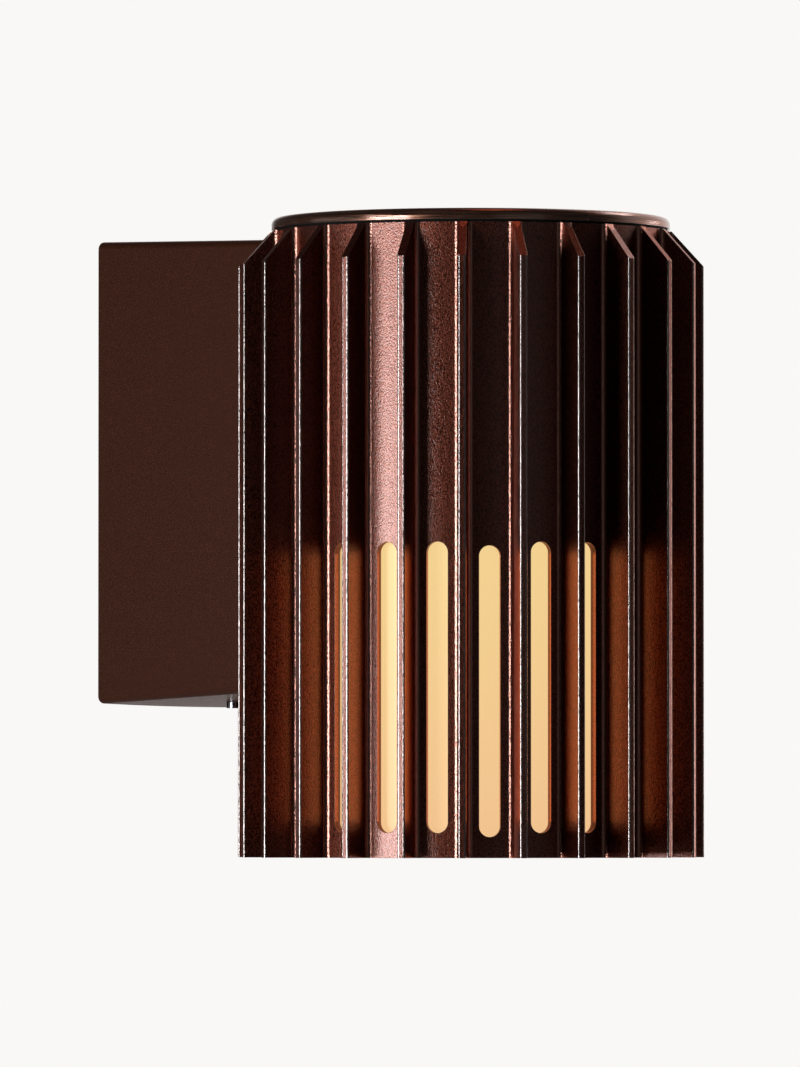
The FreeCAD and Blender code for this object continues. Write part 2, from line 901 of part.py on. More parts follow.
def cable_grommet():
    flange_start = Vector(0, -bracket_sheet, 0)
    body = rod(grommet_radius, Vector(0, 0, 0), to_front, grommet_length)
    flange = rod(grommet_flange_radius, flange_start, to_front, grommet_flange)
    return body.fuse(flange).cut(rod(cable_hole_radius, Vector(0, 0, 0), to_front, grommet_length))


def saddle_gasket_sheet():
    """Curved sheet between the saddle and the tube, a little smaller than the saddle."""
    inner = tube_radius + seal_gap
    outer = inner + saddle_gasket
    sheet = box_block(saddle_gasket_inset, 0, 0).common(shade_core(outer)).cut(shade_core(inner))
    middle = axis_reach - outer
    holes = [rod(m4_radius + seal_gap, Vector(0, -middle + overrun, level), to_front, saddle_gasket + 2 * overrun)
             for level in saddle_screw_levels()]
    holes.append(rod(bush_radius + seal_gap, Vector(0, -middle + overrun, bush_level()), to_front,
                     saddle_gasket + 2 * overrun))
    return sheet.cut(holes)


def saddle_screws():
    """Countersunk screws from inside the tube into the box's bosses."""
    screws = []
    head_depth = m4_countersink_radius - m4_radius
    for height in saddle_screw_heights():
        start = Vector(0, bore_radius, height)
        head = Part.makeCone(m4_countersink_radius, m4_radius, head_depth, start, to_wall)
        shank = rod(m4_radius, start, to_wall, saddle_screw_length)
        screws.append(on_shade(head.fuse(shank)))
    return screws


def lead_bush():
    """Rubber bush for the leads, through the saddle and the tube."""
    front = axis_reach - neck_radius + seal_gap
    back = axis_reach - saddle_inside_radius - bush_flange
    body = rod(bush_radius, Vector(0, -back, bush_level()), to_front, front - back)
    flange = rod(bush_flange_radius, Vector(0, -back, bush_level()), to_front, bush_flange)
    return body.fuse(flange).cut(rod(bush_bore, Vector(0, -back, bush_level()), to_front, front - back))


def pole_places():
    return (-pole_pitch, 0, pole_pitch)


def pole_axis_y():
    """Distance in front of the wall of the block's upright wire bores."""
    return -(block_back + block_depth / 2 + pole_bore / 2)


def terminal_block():
    face = block_back + block_depth
    low = block_level - block_height / 2
    corner = Vector(-block_width / 2, -face, low)
    body = Part.makeBox(block_width, block_depth, block_height, corner)
    groove = block_depth / 4
    cuts = []
    for side in (-pole_pitch / 2, pole_pitch / 2):
        cuts.append(Part.makeBox(pole_bore, groove, block_height,
                                 Vector(side - pole_bore / 2, -block_back - groove, low)))
        cuts.append(rod(m3_head_radius + seal_gap, Vector(side, -block_back, block_level), to_front, groove))
        cuts.append(rod(m3_radius + seal_gap, Vector(side, -block_back, block_level), to_front, block_depth))
    for across in pole_places():
        cuts.append(rod(pole_bore, Vector(across, pole_axis_y(), low), vertical, block_height))
        for offset in (-pole_screw_offset, pole_screw_offset):
            cuts.append(rod(pole_screw_radius + fit_gap, Vector(across, -block_back, block_level + offset),
                            to_front, pole_screw_length + pole_screw_sink + pole_bore / 2))
    return body.cut(cuts)


def terminal_screws():
    screws = []
    for across in pole_places():
        for offset in (-pole_screw_offset, pole_screw_offset):
            start = Vector(across, -block_back - pole_screw_sink, block_level + offset)
            screws.append(rod(pole_screw_radius, start, to_front, pole_screw_length))
    return screws


def terminal_fixing_screws():
    screws = []
    seat = block_back + block_depth / 4
    head_top = seat - m3_head_height
    for side in (-pole_pitch / 2, pole_pitch / 2):
        head = rod(m3_head_radius, Vector(side, -head_top, block_level), to_front, m3_head_height)
        shank = rod(m3_radius, Vector(side, -seat, block_level), to_front,
                    block_back + block_screw_length - seat)
        screws.append(head.fuse(shank))
    return screws


def earth_face():
    """Distance in front of the wall of the earth boss's end."""
    return -saddle_surface(earth_across) - box_wall - earth_boss_rise


def earth_screw():
    seat = Vector(-earth_across, -earth_face() + lug_sheet, earth_level)
    head = rod(m4_head_radius, seat, to_wall, m4_head_height)
    shank = rod(m4_radius, seat, to_front, earth_screw_length - overrun)
    return head.fuse(shank)


def lug_start():
    """Where the earth lead's end lies in the lug's barrel, below the screw."""
    return Vector(-earth_across, -earth_face() + lug_barrel, earth_level - lug_radius - lug_tongue)


def earth_lug():
    seat = Vector(-earth_across, -earth_face(), earth_level)
    eye = pipe(m4_radius + seal_gap, lug_radius, seat, to_wall, lug_sheet)
    tongue_top = seat - vertical * (lug_radius - lug_sheet)
    tongue = Part.makeBox(lug_barrel, lug_sheet, lug_tongue,
                          tongue_top - vertical * lug_tongue - to_side * (lug_barrel / 2))
    barrel = pipe(lead_radius + fit_gap, lug_barrel, lug_start() - vertical * lug_sheet, vertical, lug_tongue)
    return eye.fuse([tongue, barrel]).removeSplitter()


def lead(*points):
    """Lead along straight runs joined by arcs as wide as the shorter run beside each point allows."""
    edges = []
    here = points[0]
    for before, corner, after in zip(points, points[1:], points[2:]):
        inward = (corner - before).normalize()
        outward = (after - corner).normalize()
        turn = inward.getAngle(outward)
        trim = lead_bend_share * min((corner - before).Length, (after - corner).Length)
        radius = trim / math.tan(turn / 2)
        arc_start = corner - inward * trim
        arc_end = corner + outward * trim
        to_centre = (outward - inward).normalize()
        centre = corner + to_centre * math.sqrt(trim ** 2 + radius ** 2)
        middle = centre - to_centre * radius
        edges.append(Part.LineSegment(here, arc_start).toShape())
        edges.append(Part.Arc(arc_start, middle, arc_end).toShape())
        here = arc_end
    edges.append(Part.LineSegment(here, points[-1]).toShape())
    path = Part.Wire(edges)
    start_direction = (points[1] - points[0]).normalize()
    section = Part.Wire(Part.makeCircle(lead_radius, points[0], start_direction))
    return path.makePipeShell([section], True, False)


def lead_start(across):
    """End of a lead inside one of the terminal block's upright bores."""
    return Vector(across, pole_axis_y(), block_level + block_height / 2 - lead_in_block)


def phase_lead(across):
    """Lead from one outer pole up through the bush, over the holder plate and down to the lampholder."""
    start = lead_start(across)
    side = math.copysign(1, across)
    bush_side = side * lead_side_in_bush
    holder_side = side * lead_side_in_holder
    level = bush_level()
    return lead(
        start,
        start + vertical * lead_rise,
        Vector(across * lead_gather_share, start.y + lead_lean, level - lead_lean_drop),
        Vector(bush_side, start.y - lead_slack, level),
        Vector(bush_side, -axis_reach + neck_radius - lead_past_bush, level),
        Vector(holder_side, -axis_reach + lead_before_holder, level + lead_slack),
        Vector(holder_side, -axis_reach, level - lead_slack),
        Vector(holder_side, -axis_reach, shade_base.z + plate_underside - lead_in_holder),
    )


def earth_lead():
    start = lead_start(0)
    end = lug_start()
    return lead(
        start,
        start + vertical * earth_lead_rise,
        end + Vector(lead_lean, lead_lean, -earth_lead_dip),
        end - vertical * earth_lead_run_in,
        end,
    )


def main():
    os.makedirs("parts", exist_ok=True)
    save("wall_bracket", wall_bracket())
    save("wall_gasket", wall_gasket())
    save("cable_grommet", cable_grommet())
    save("wall_box", wall_box())
    save("box_grub_screws", *box_grub_screws())
    save("terminal_block", terminal_block())
    save("terminal_screws", *terminal_screws())
    save("terminal_fixing_screws", *terminal_fixing_screws())
    save("earth_screw", earth_screw())
    save("earth_lug", earth_lug())
    save("lead_live", phase_lead(-pole_pitch))
    save("lead_neutral", phase_lead(pole_pitch))
    save("lead_earth", earth_lead())
    save("lead_bush", lead_bush())
    save("saddle_gasket", saddle_gasket_sheet())
    save("saddle_screws", *saddle_screws())
    save("finned_shade", finned_shade())
    save("top_cap", top_cap())
    save("cap_gasket", cap_gasket_ring())
    save("holder_plate", holder_plate())
    save("holder_gasket", holder_gasket())
    save("holder_plate_screws", *holder_plate_screws())
    save("lampholder_shell", lampholder_shell())
    save("lampholder_thread", lampholder_thread())
    save("lampholder_contact", lampholder_contact())
    save("lampholder_screws", *lampholder_screws())
    save("diffuser_seal", diffuser_seal())
    save("diffuser_cup", diffuser_cup())
    save("lamp_contact", lamp_contact())
    save("lamp_insulator", lamp_insulator())
    save("lamp_cap", lamp_cap())
    save("lamp_housing", lamp_housing())
    save("lamp_board", lamp_board())
    save("lamp_globe", lamp_globe())


main()
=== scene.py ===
import math

import bpy
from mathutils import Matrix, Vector


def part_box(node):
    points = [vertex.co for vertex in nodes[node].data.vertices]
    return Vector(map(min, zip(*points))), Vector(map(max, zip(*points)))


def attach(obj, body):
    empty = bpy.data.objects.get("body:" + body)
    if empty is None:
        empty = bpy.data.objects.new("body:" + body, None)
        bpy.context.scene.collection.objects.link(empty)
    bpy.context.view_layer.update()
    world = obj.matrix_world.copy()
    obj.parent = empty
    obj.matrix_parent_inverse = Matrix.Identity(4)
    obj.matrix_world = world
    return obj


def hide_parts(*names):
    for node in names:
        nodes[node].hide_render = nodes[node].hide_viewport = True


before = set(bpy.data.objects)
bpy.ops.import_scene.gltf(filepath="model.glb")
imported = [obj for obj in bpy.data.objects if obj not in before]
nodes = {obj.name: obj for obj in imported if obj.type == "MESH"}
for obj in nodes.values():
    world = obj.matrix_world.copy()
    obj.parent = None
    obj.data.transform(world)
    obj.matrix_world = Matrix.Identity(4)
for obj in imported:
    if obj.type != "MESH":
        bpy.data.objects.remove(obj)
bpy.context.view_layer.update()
bpy.ops.object.select_all(action="DESELECT")

# The camera stands about 2.7 m off, to the left of the light, a little above its lower edge.
# A long lens keeps the fins upright and nearly parallel.
shade_axis = Vector((0, -0.114, 0))
camera_distance = 2.69
camera_turn = math.radians(-35.385)
camera_height = -0.08897
camera_tilt = math.radians(91.512)
camera_aim = math.radians(0.3885)
camera_data = bpy.data.cameras.new("camera")
camera_data.lens = 352.5
camera_data.sensor_width = 36
camera_data.clip_start = 0.1
camera_data.clip_end = 60
camera = bpy.data.objects.new("camera", camera_data)
camera.location = (
    shade_axis.x + camera_distance * math.sin(camera_turn),
    shade_axis.y - camera_distance * math.cos(camera_turn),
    camera_height,
)
camera.rotation_euler = (camera_tilt, 0, camera_turn + camera_aim)
bpy.context.scene.collection.objects.link(camera)
bpy.context.scene.camera = camera


# The studio is a pale floor below the light, a small strong key lamp and a wide dim lamp at the left, and
# soft lamps in front, at the right and above. The background is white, and the room in front is dim.
# The camera sees through the floor, as the wall light hangs free, also for a look from below.
def srgb(code):
    """Linear colour of a hex code."""
    parts = [int(code[index:index + 2], 16) / 255 for index in (1, 3, 5)]
    return [part / 12.92 if part <= 0.04045 else ((part + 0.055) / 1.055) ** 2.4 for part in parts] + [1]


def add(tree, kind, sockets={}, links={}, **settings):
    """Adds a node with its settings, its socket values and the links into it."""
    node = tree.nodes.new(kind)
    for name, value in settings.items():
        setattr(node, name, value)
    for name, value in sockets.items():
        node.inputs[name].default_value = value
    for name, source in links.items():
        tree.links.new(source, node.inputs[name])
    return node


background = srgb("#f9f8f6")
floor_radius = 1.6
floor_place = (0, 0, -0.42)
bpy.ops.mesh.primitive_circle_add(vertices=96, radius=floor_radius, fill_type="NGON", location=floor_place)
floor = bpy.context.object
floor.name = "studio_floor"
floor_paint = bpy.data.materials.new("pale_floor_paint")
floor_paint.use_nodes = True
tree = floor_paint.node_tree
paint = tree.nodes["Principled BSDF"]
paint.inputs["Base Color"].default_value = srgb("#c4c3c0")
paint.inputs["Roughness"].default_value = 0.7
floor_ray = add(tree, "ShaderNodeLightPath")
clear = add(tree, "ShaderNodeBsdfTransparent")
floor_look = add(tree, "ShaderNodeMixShader",
                 links={"Fac": floor_ray.outputs["Is Camera Ray"], 1: paint.outputs["BSDF"],
                        2: clear.outputs["BSDF"]})
tree.links.new(floor_look.outputs["Shader"], tree.nodes["Material Output"].inputs["Surface"])
floor.data.materials.append(floor_paint)

world = bpy.data.worlds.new("studio")
bpy.context.scene.world = world
world.use_nodes = True
room = world.node_tree
room.nodes.clear()
# Glossy and clear surfaces see the white background only towards the bright side, behind the light.
bright_side = (0.94, 0.34, 0.05)
ray = add(room, "ShaderNodeLightPath")
direction = add(room, "ShaderNodeTexCoord")
behind = add(room, "ShaderNodeVectorMath", {1: bright_side}, {0: direction.outputs["Generated"]},
             operation="DOT_PRODUCT")
wall = add(room, "ShaderNodeMapRange", {"From Min": 0.5, "From Max": 0.9, "To Min": 0.06, "To Max": 0.95},
           {"Value": behind.outputs["Value"]}, interpolation_type="SMOOTHSTEP")
plain = add(room, "ShaderNodeBackground", {"Color": background, "Strength": 1})
dim = add(room, "ShaderNodeBackground", {"Color": background, "Strength": 0.07})
mirrored_room = add(room, "ShaderNodeBackground", {"Color": background},
                    {"Strength": wall.outputs["Result"]})
shiny = add(room, "ShaderNodeMath",
            links={0: ray.outputs["Is Glossy Ray"], 1: ray.outputs["Is Transmission Ray"]},
            operation="MAXIMUM")
unseen = add(room, "ShaderNodeMixShader",
             links={"Fac": shiny.outputs[0], 1: dim.outputs[0], 2: mirrored_room.outputs[0]})
seen = add(room, "ShaderNodeMixShader",
           links={"Fac": ray.outputs["Is Camera Ray"], 1: unseen.outputs[0], 2: plain.outputs[0]})
add(room, "ShaderNodeOutputWorld", links={"Surface": seen.outputs[0]})


def soft_lamp(name, turn, rise, distance, width, height, power, colour="#ffffff"):
    """Rectangular lamp aimed at the shade. Turn is in degrees to the right of the camera's side."""
    lamp = bpy.data.lights.new(name, "AREA")
    lamp.shape = "RECTANGLE"
    lamp.size = width
    lamp.size_y = height
    lamp.energy = power
    lamp.color = srgb(colour)[:3]
    place = bpy.data.objects.new(name, lamp)
    around = camera_turn + math.radians(turn)
    up = math.radians(rise)
    outward = Vector((math.sin(around) * math.cos(up), -math.cos(around) * math.cos(up), math.sin(up)))
    place.location = shade_axis + outward * distance
    place.rotation_euler = outward.to_track_quat("Z", "Y").to_euler()
    bpy.context.scene.collection.objects.link(place)


soft_lamp("key_lamp", turn=-48, rise=-3, distance=1.5, width=0.66, height=0.4, power=24)
soft_lamp("left_lamp", turn=-84, rise=-4, distance=1.6, width=1.1, height=0.5, power=1.3)
soft_lamp("front_lamp", turn=28, rise=3, distance=1.8, width=0.9, height=0.6, power=0.4)
soft_lamp("right_lamp", turn=130, rise=-5, distance=1.8, width=0.5, height=0.5, power=5.5)
soft_lamp("right_top_lamp", turn=125, rise=42, distance=1.6, width=0.5, height=0.4, power=4)
soft_lamp("top_lamp", turn=60, rise=82, distance=1.5, width=0.4, height=0.4, power=1.6, colour="#ff8a66")


# The wall bracket is cut and bent from 2 mm steel sheet and zinc plated: a soft bluish grey with faint
# lines from rolling. Two wall screws hold it, and the box hooks over its top.
def surface(name, colours, size, roughness, height, drawn=(1, 1, 1), metallic=0, play=0.05):
    """Material with one fine pattern in its colour, gloss and height. The pattern's size and height are in
    metres, and a number under 1 in drawn makes it longer along that axis. Play is the gloss's spread."""
    made = bpy.data.materials.new(name)
    made.use_nodes = True
    tree = made.node_tree
    paint = tree.nodes["Principled BSDF"]
    place = add(tree, "ShaderNodeTexCoord", name="place")
    longer = add(tree, "ShaderNodeMapping", {"Scale": drawn}, {"Vector": place.outputs["Object"]},
                 name="longer")
    pattern = add(tree, "ShaderNodeTexNoise", {"Scale": 1 / size, "Detail": 3, "Roughness": 0.6},
                  {"Vector": longer.outputs["Vector"]}, name="pattern")
    tones = add(tree, "ShaderNodeValToRGB", links={"Fac": pattern.outputs["Fac"]}, name="tones")
    for stop, code, position in zip(tones.color_ramp.elements, colours, (0.35, 0.65)):
        stop.color = srgb(code)
        stop.position = position
    gloss = add(tree, "ShaderNodeMapRange", {"From Min": 0.3, "From Max": 0.7, "To Min": roughness - play,
                                             "To Max": roughness + play},
                {"Value": pattern.outputs["Fac"]}, name="gloss")
    relief = add(tree, "ShaderNodeBump", {"Strength": 0.5, "Distance": height},
                 {"Height": pattern.outputs["Fac"]}, name="relief")
    paint.inputs["Metallic"].default_value = metallic
    tree.links.new(tones.outputs["Color"], paint.inputs["Base Color"])
    tree.links.new(gloss.outputs["Result"], paint.inputs["Roughness"])
    tree.links.new(relief.outputs["Normal"], paint.inputs["Normal"])
    return made


def put_on(made, *names):
    """Gives CAD nodes their finish."""
    for name in names:
        slots = nodes[name].data.materials
        slots.clear()
        slots.append(made)


zinc = surface("zinc_plated_rolled_steel", ("#8b8f93", "#aeb1b2"), size=0.0016, roughness=0.36,
               height=0.00003, drawn=(0.06, 1, 1), metallic=1)
put_on(zinc, "wall_bracket")

# The wall gasket is a cord of foamed rubber in the box's rim, which seals it to the wall.
# It is matt black with open pores about 0.6 mm wide.
foam = surface("black_foam_rubber", ("#0f0f0f", "#262524"), size=0.0006, roughness=0.85, height=0.0003)
put_on(foam, "wall_gasket")

# The cable grommet, the lead bush and the flat seals are moulded in black rubber and squeezed in place.
# They are dull, with a fine bloom and hardly any shine.
rubber = surface("black_moulded_rubber", ("#040404", "#080707"), size=0.0009, roughness=0.8, height=0.00004)
rubber.node_tree.nodes["Principled BSDF"].inputs["Specular IOR Level"].default_value = 0.1
put_on(rubber, "cable_grommet", "lead_bush", "saddle_gasket", "cap_gasket")

# The terminal block is moulded in natural white polyamide, slightly waxy, on two stainless screws.
# Stainless screws with a drawn finish also hold the earth lug, the shade, the plate and the lampholder.
polyamide = surface("white_moulded_polyamide", ("#d9d5c9", "#e6e2d7"), size=0.004, roughness=0.42,
                    height=0.00005)
put_on(polyamide, "terminal_block")
stainless = surface("bright_stainless_steel", ("#a5a6a7", "#c6c6c5"), size=0.0007, roughness=0.24,
                    height=0.00002, metallic=1)
put_on(stainless, "terminal_screws", "terminal_fixing_screws", "earth_screw", "saddle_screws",
       "holder_plate_screws", "lampholder_screws")

# The crimped earth lug and the threaded sleeve of the lampholder are pressed from brass, nickel plated:
# a warm grey metal with fine drawing lines round it.
nickel = surface("nickel_plated_pressed_brass", ("#a9a294", "#cdc7b9"), size=0.0008, roughness=0.22,
                 height=0.00002, metallic=1)
put_on(nickel, "earth_lug", "lampholder_thread")

# The leads are copper strands in extruded PVC: brown, blue, and green with a yellow stripe for the earth.
# The plastic has a low gloss and a faint unevenness along its length.
lead_finish = {"size": 0.0015, "roughness": 0.38, "height": 0.00004}
put_on(surface("brown_extruded_pvc", ("#4a2915", "#5c361e"), **lead_finish), "lead_live")
put_on(surface("blue_extruded_pvc", ("#1d4b94", "#2b5fae"), **lead_finish), "lead_neutral")
striped = surface("green_and_yellow_extruded_pvc", ("#1e7a3c", "#26883f"), **lead_finish)
tree = striped.node_tree
stripe = add(tree, "ShaderNodeTexWave", {"Scale": 90, "Distortion": 0.4},
             {"Vector": tree.nodes["place"].outputs["Object"]}, bands_direction="DIAGONAL")
hard = add(tree, "ShaderNodeMapRange", {"From Min": 0.58, "From Max": 0.66}, {"Value": stripe.outputs["Fac"]})
both = add(tree, "ShaderNodeMix", {7: srgb("#d9b91c")},
           {0: hard.outputs["Result"], 6: tree.nodes["tones"].outputs["Color"]}, data_type="RGBA")
tree.links.new(both.outputs[2], tree.nodes["Principled BSDF"].inputs["Base Color"])
put_on(striped, "lead_earth")


# The wall box is cast aluminium with a satin brown powder coating. It carries the shade and hides the
# bracket, and two set screws in its underside lock it on the bracket's ledge.
def brown_coating(name, dark, light, roughness, edge, metallic, lacquer, drawn=(1, 1, 1)):
    """Metallic powder coating. Its flakes and cured grain are drawn 0.3 mm wide, about twice their real
    size, so that they show. The coat draws thinner and glossier over sharp edges, and a paler tone painted
    along them stands in for the highlight lines these edges catch."""
    made = surface(name, (dark, light), size=0.0003, roughness=roughness, height=0.00007, drawn=drawn,
                   metallic=metallic, play=0.1)
    tree = made.node_tree
    paint = tree.nodes["Principled BSDF"]
    relief = tree.nodes["relief"]
    relief.inputs["Strength"].default_value = 1
    tree.nodes["pattern"].inputs["Detail"].default_value = 1.5
    rounded = add(tree, "ShaderNodeBevel", {"Radius": edge}, samples=4, name="rounded")
    face = add(tree, "ShaderNodeNewGeometry")
    turn = add(tree, "ShaderNodeVectorMath", links={0: rounded.outputs["Normal"], 1: face.outputs["Normal"]},
               operation="DOT_PRODUCT")
    # Sharp edges, where the rounded normal turns away from the face normal: the coat is thinner and glossier
    # there, and a paler tone is painted on as a highlight line.
    thin_coat_and_highlight_edge = add(tree, "ShaderNodeMapRange", {"From Min": 0.99, "From Max": 0.85},
               {"Value": turn.outputs["Value"]}, name="thin_coat_and_highlight_edge")
    # Painted highlight: a pale grey tone blended into the colour along sharp edges.
    painted_edge_highlight = add(tree, "ShaderNodeMix", {7: srgb("#655e5c")},
                {0: thin_coat_and_highlight_edge.outputs["Result"], 6: tree.nodes["tones"].outputs["Color"]}, data_type="RGBA",
                name="painted_edge_highlight")
    polish = add(tree, "ShaderNodeMix", {3: 0.16},
                 {0: thin_coat_and_highlight_edge.outputs["Result"], 2: tree.nodes["gloss"].outputs["Result"]}, name="polish")
    tree.links.new(painted_edge_highlight.outputs[2], paint.inputs["Base Color"])
    tree.links.new(polish.outputs[0], paint.inputs["Roughness"])
    tree.links.new(rounded.outputs["Normal"], relief.inputs["Normal"])
    tree.links.new(relief.outputs["Normal"], paint.inputs["Coat Normal"])
    paint.inputs["Specular IOR Level"].default_value = 0.65
    paint.inputs["Specular Tint"].default_value = srgb("#ffbcaa")
    paint.inputs["Coat Weight"].default_value = lacquer
    paint.inputs["Coat Roughness"].default_value = 0.12
    return made


casting = brown_coating("brown_powder_coated_casting", "#2b1407", "#3d1b0c", roughness=0.42, edge=0.0003,
                        metallic=0.5, lacquer=0.2)
put_on(casting, "wall_box")

# The set screws are turned from blackened steel with a hexagon socket, and lock the box on its bracket.
# They are dark, oily and glossy, with pale glints.
black_steel = surface("blackened_steel", ("#47474a", "#67676b"), size=0.0006, roughness=0.2, height=0.00003,
                      metallic=1)
put_on(black_steel, "box_grub_screws")


# The shade is an extruded aluminium tube with 18 fins, turned down at its top and slotted in the valleys,
# in the same coating as the box but glossier. Its fins' corners and root fillets carry a paler, glossier
# tone, painted highlights in fine pale lines.
def about_axis(tree):
    """Adds nodes that measure the distance from the shade's axis, the turn about it and the height."""
    centred = add(tree, "ShaderNodeMapping", {"Location": -shade_axis},
                  {"Vector": tree.nodes["place"].outputs["Object"]})
    flat = add(tree, "ShaderNodeVectorMath", {1: (1, 1, 0)}, {0: centred.outputs["Vector"]},
               operation="MULTIPLY")
    reach = add(tree, "ShaderNodeVectorMath", links={0: flat.outputs["Vector"]}, operation="LENGTH")
    apart = add(tree, "ShaderNodeSeparateXYZ", links={0: centred.outputs["Vector"]})
    around = add(tree, "ShaderNodeMath", links={0: apart.outputs["X"], 1: apart.outputs["Y"]},
                 operation="ARCTAN2")
    return reach.outputs["Value"], around.outputs[0], apart.outputs["Z"]


extrusion = brown_coating("brown_powder_coated_extrusion", "#290e05", "#653529", roughness=0.39,
                          edge=0.00015, metallic=1, lacquer=0.45, drawn=(1, 1, 0.6))
fin_pitch = math.radians(15)
corner_from, corner_to = 0.0604, 0.0606
fillet_from, fillet_to = 0.0534, 0.0532
tree = extrusion.node_tree
reach, around, _ = about_axis(tree)
pitches = add(tree, "ShaderNodeMath", {1: fin_pitch}, {0: around}, operation="DIVIDE")
share = add(tree, "ShaderNodeMath", links={0: pitches.outputs[0]}, operation="FRACT")
from_fin = add(tree, "ShaderNodeMath", {1: 0.5}, {0: share.outputs[0]}, operation="SUBTRACT")
aside = add(tree, "ShaderNodeMath", links={0: from_fin.outputs[0]}, operation="ABSOLUTE")
angle = add(tree, "ShaderNodeMath", {1: fin_pitch}, {0: aside.outputs[0]}, operation="MULTIPLY")
# Reach and the arc from the fin's middle together are longest at its corners and short at its root fillets.
corner = add(tree, "ShaderNodeMath", links={0: angle.outputs[0], 1: reach, 2: reach},
             operation="MULTIPLY_ADD")
# The fins' outer corners get the same pale, glossy tone: painted highlight lines along each corner.
tip = add(tree, "ShaderNodeMapRange", {"From Min": corner_from, "From Max": corner_to},
          {"Value": corner.outputs[0]})
gloss_and_highlight_corners = add(tree, "ShaderNodeMath", links={0: tip.outputs["Result"], 1: tree.nodes["thin_coat_and_highlight_edge"].outputs["Result"]},
           operation="MAXIMUM")
# The root fillets get a paler, glossier tone of their own: a painted highlight line along each fin's root.
root = add(tree, "ShaderNodeMapRange", {"From Min": fillet_from, "From Max": fillet_to},
           {"Value": corner.outputs[0]})
painted_root_highlight = add(tree, "ShaderNodeMix", {7: srgb("#6b463c")},
             {0: root.outputs["Result"], 6: tree.nodes["tones"].outputs["Color"]}, data_type="RGBA")
smooth = add(tree, "ShaderNodeMix", {3: 0.2},
             {0: root.outputs["Result"], 2: tree.nodes["gloss"].outputs["Result"]})
tree.links.new(gloss_and_highlight_corners.outputs[0], tree.nodes["painted_edge_highlight"].inputs[0])
tree.links.new(painted_root_highlight.outputs[2], tree.nodes["painted_edge_highlight"].inputs[6])
tree.links.new(gloss_and_highlight_corners.outputs[0], tree.nodes["polish"].inputs[0])
tree.links.new(smooth.outputs[0], tree.nodes["polish"].inputs[2])
put_on(extrusion, "finned_shade")


# The cap is a turned aluminium disc with a rounded rim and the shade's coating, in which the rings of the
# turning still show. Three screws through the holder plate pull it down on its flat seal.
def turned(made):
    """Draws the material's pattern out into rings about the shade's axis, as a lathe leaves them."""
    tree = made.node_tree
    reach, around, height = about_axis(tree)
    spread = add(tree, "ShaderNodeMath", {1: 0.001}, {0: around}, operation="MULTIPLY")
    rings = add(tree, "ShaderNodeCombineXYZ", links={"X": reach, "Y": spread.outputs[0], "Z": height})
    tree.links.new(rings.outputs["Vector"], tree.nodes["pattern"].inputs["Vector"])
    return made


disc = brown_coating("brown_powder_coated_turned_disc", "#472a1e", "#654536", roughness=0.27, edge=0.0003,
                     metallic=0.9, lacquer=1)
put_on(turned(disc), "top_cap")

# The holder plate is turned from aluminium and left bare, as is the board that carries the lamp's diodes:
# pale metal with fine rings. A grey silicone ring seals the plate to the shade's neck, and a second one
# lies in its groove for the diffuser.
aluminium = surface("bare_turned_aluminium", ("#b2b3b5", "#cfd0d1"), size=0.0008, roughness=0.33,
                    height=0.00003, metallic=1)
put_on(turned(aluminium), "holder_plate", "lamp_board")
silicone = surface("grey_moulded_silicone", ("#707173", "#828384"), size=0.0012, roughness=0.6,
                   height=0.00004)
put_on(silicone, "holder_gasket", "diffuser_seal")

# The lampholder and the lamp's insulator are moulded in black heat-proof plastic with a faint gloss.
# Its centre contact, and the lamp's, are stamped brass.
heatproof = surface("black_moulded_heatproof_plastic", ("#131313", "#1e1d1d"), size=0.0008, roughness=0.38,
                    height=0.00003)
put_on(heatproof, "lampholder_shell", "lamp_insulator")
brass = surface("stamped_brass", ("#a8813d", "#c6a056"), size=0.0009, roughness=0.28, height=0.00002,
                metallic=1)
put_on(brass, "lampholder_contact", "lamp_contact")

# The lamp has a white housing moulded in polycarbonate, with a soft gloss. An opal globe is welded to it,
# and glows warm white when the lamp is lit.
housing = surface("white_moulded_polycarbonate", ("#e2dfd8", "#ebe8e1"), size=0.003, roughness=0.35,
                  height=0.00003)
put_on(housing, "lamp_housing")
globe = surface("opal_blown_polycarbonate", ("#e9e2d2", "#f0eadc"), size=0.006, roughness=0.3, height=0.00002)
paint = globe.node_tree.nodes["Principled BSDF"]
paint.inputs["Emission Color"].default_value = srgb("#ffe0ab")
paint.inputs["Emission Strength"].default_value = 0.9
put_on(globe, "lamp_globe")

# The lamp's cap is pressed from the same nickel-plated brass. Its rounded E27 thread is rolled into the
# sheet, and runs out at both ends into the plain rim and the sloping shoulder.
cap_low, cap_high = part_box("lamp_cap")
cap_radius = (cap_high[0] - cap_low[0]) / 2
cap_rim = 0.0012
cap_slope = 0.0025
cap_shoulder = 0.0095
thread_pitch = 0.003629
thread_depth = 0.0011
thread_low = cap_low[2] + cap_rim
thread_high = cap_high[2] - cap_slope
thread_rows = 80
columns = 72
weld_distance = 0.000001
crease = math.radians(35)
levels = [thread_low + (thread_high - thread_low) * row / thread_rows for row in range(thread_rows + 1)]
outline = [(0, cap_low[2]), (cap_radius, cap_low[2])] + [(cap_radius, level) for level in levels]
outline += [(cap_shoulder, cap_high[2]), (0, cap_high[2])]
bpy.ops.mesh.primitive_grid_add(x_subdivisions=columns, y_subdivisions=len(outline) - 1, size=1)
cap = bpy.context.object
cap.name = "lamp_cap_threaded"
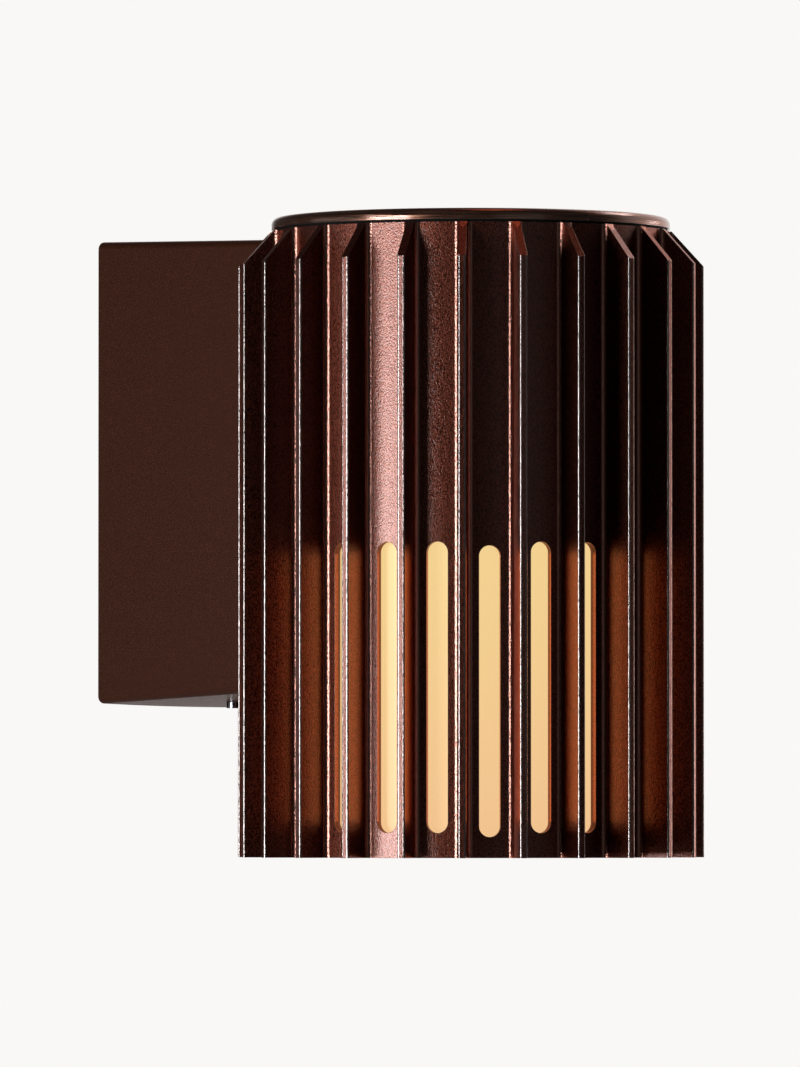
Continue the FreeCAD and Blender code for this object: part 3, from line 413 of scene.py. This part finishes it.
for vertex in cap.data.vertices:
    radius, level = outline[round((vertex.co.y + 0.5) * (len(outline) - 1))]
    turn = (vertex.co.x + 0.5) * 2 * math.pi
    fade = max(0, min(1, (level - thread_low) / thread_pitch, (thread_high - level) / thread_pitch))
    if fade > 0:
        radius -= thread_depth * fade * (0.5 - 0.5 * math.cos(2 * math.pi * level / thread_pitch - turn))
    vertex.co = (shade_axis.x + radius * math.cos(turn), shade_axis.y + radius * math.sin(turn), level)
bpy.ops.object.mode_set(mode="EDIT")
bpy.ops.mesh.select_all(action="SELECT")
bpy.ops.mesh.remove_doubles(threshold=weld_distance)
bpy.ops.mesh.normals_make_consistent(inside=False)
bpy.ops.object.mode_set(mode="OBJECT")
bpy.ops.object.shade_smooth_by_angle(angle=crease)
cap.data.materials.append(nickel)
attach(cap, "lamp")
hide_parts("lamp_cap")

# The diffuser is a deep cup moulded in opal plastic with a fine matt texture. Its glow is painted light:
# an emission in the cup stands in for the lamp's light shining through it, warm white, a little redder
# towards its foot and brighter towards the middle of its foot. Its own colour is a dim beige, so that
# the studio lamps add little to the painted glow.
opal_radius = 0.047
opal_foot = -0.098
opal_shoulder = -0.03
opal = surface("opal_moulded_plastic", ("#857860", "#8a7d64"), size=0.0012, roughness=0.45, height=0.00002)
tree = opal.node_tree
reach, _, height = about_axis(tree)
paint = tree.nodes["Principled BSDF"]
paint.inputs["Specular IOR Level"].default_value = 0.15
rise = add(tree, "ShaderNodeMapRange", {"From Min": opal_foot, "From Max": opal_shoulder}, {"Value": height})
# Painted glow colour, redder towards the cup's foot.
painted_glow_colour = add(tree, "ShaderNodeMix", {6: srgb("#f3c490"), 7: srgb("#f4d291")}, {0: rise.outputs["Result"]},
             data_type="RGBA")
tree.links.new(painted_glow_colour.outputs[2], paint.inputs["Emission Color"])
# Painted glow strength, brighter towards the middle of the cup's foot.
painted_glow_strength = add(tree, "ShaderNodeMapRange",
                 {"From Min": opal_radius, "From Max": 0, "To Min": 0.96, "To Max": 1.1}, {"Value": reach})
tree.links.new(painted_glow_strength.outputs["Result"], paint.inputs["Emission Strength"])
put_on(opal, "diffuser_cup")

# Each slot lets the diffuser's light out on the flanks beside it. A narrow lamp just behind the slot, unseen
# by the camera, gives that glow without noise.
slot_count = 17
glow_width = 0.0046
glow_height = 0.068
glow_reach = 0.0492
glow_level = Vector((0, 0, -0.0581))
glow_power = 0.0034
for index in range(slot_count):
    slot_turn = fin_pitch * (index - slot_count // 2)
    glow = bpy.data.lights.new("slot_glow", "AREA")
    glow.shape = "RECTANGLE"
    glow.size = glow_width
    glow.size_y = glow_height
    glow.color = srgb("#ffa862")[:3]
    glow.energy = glow_power
    place = bpy.data.objects.new("slot_glow", glow)
    outward = Vector((math.sin(slot_turn), -math.cos(slot_turn), 0))
    place.location = shade_axis + outward * glow_reach + glow_level
    place.rotation_euler = (-outward).to_track_quat("Z", "Y").to_euler()
    place.visible_camera = False
    bpy.context.scene.collection.objects.link(place)

bpy.context.scene.view_settings.view_transform = "Standard"
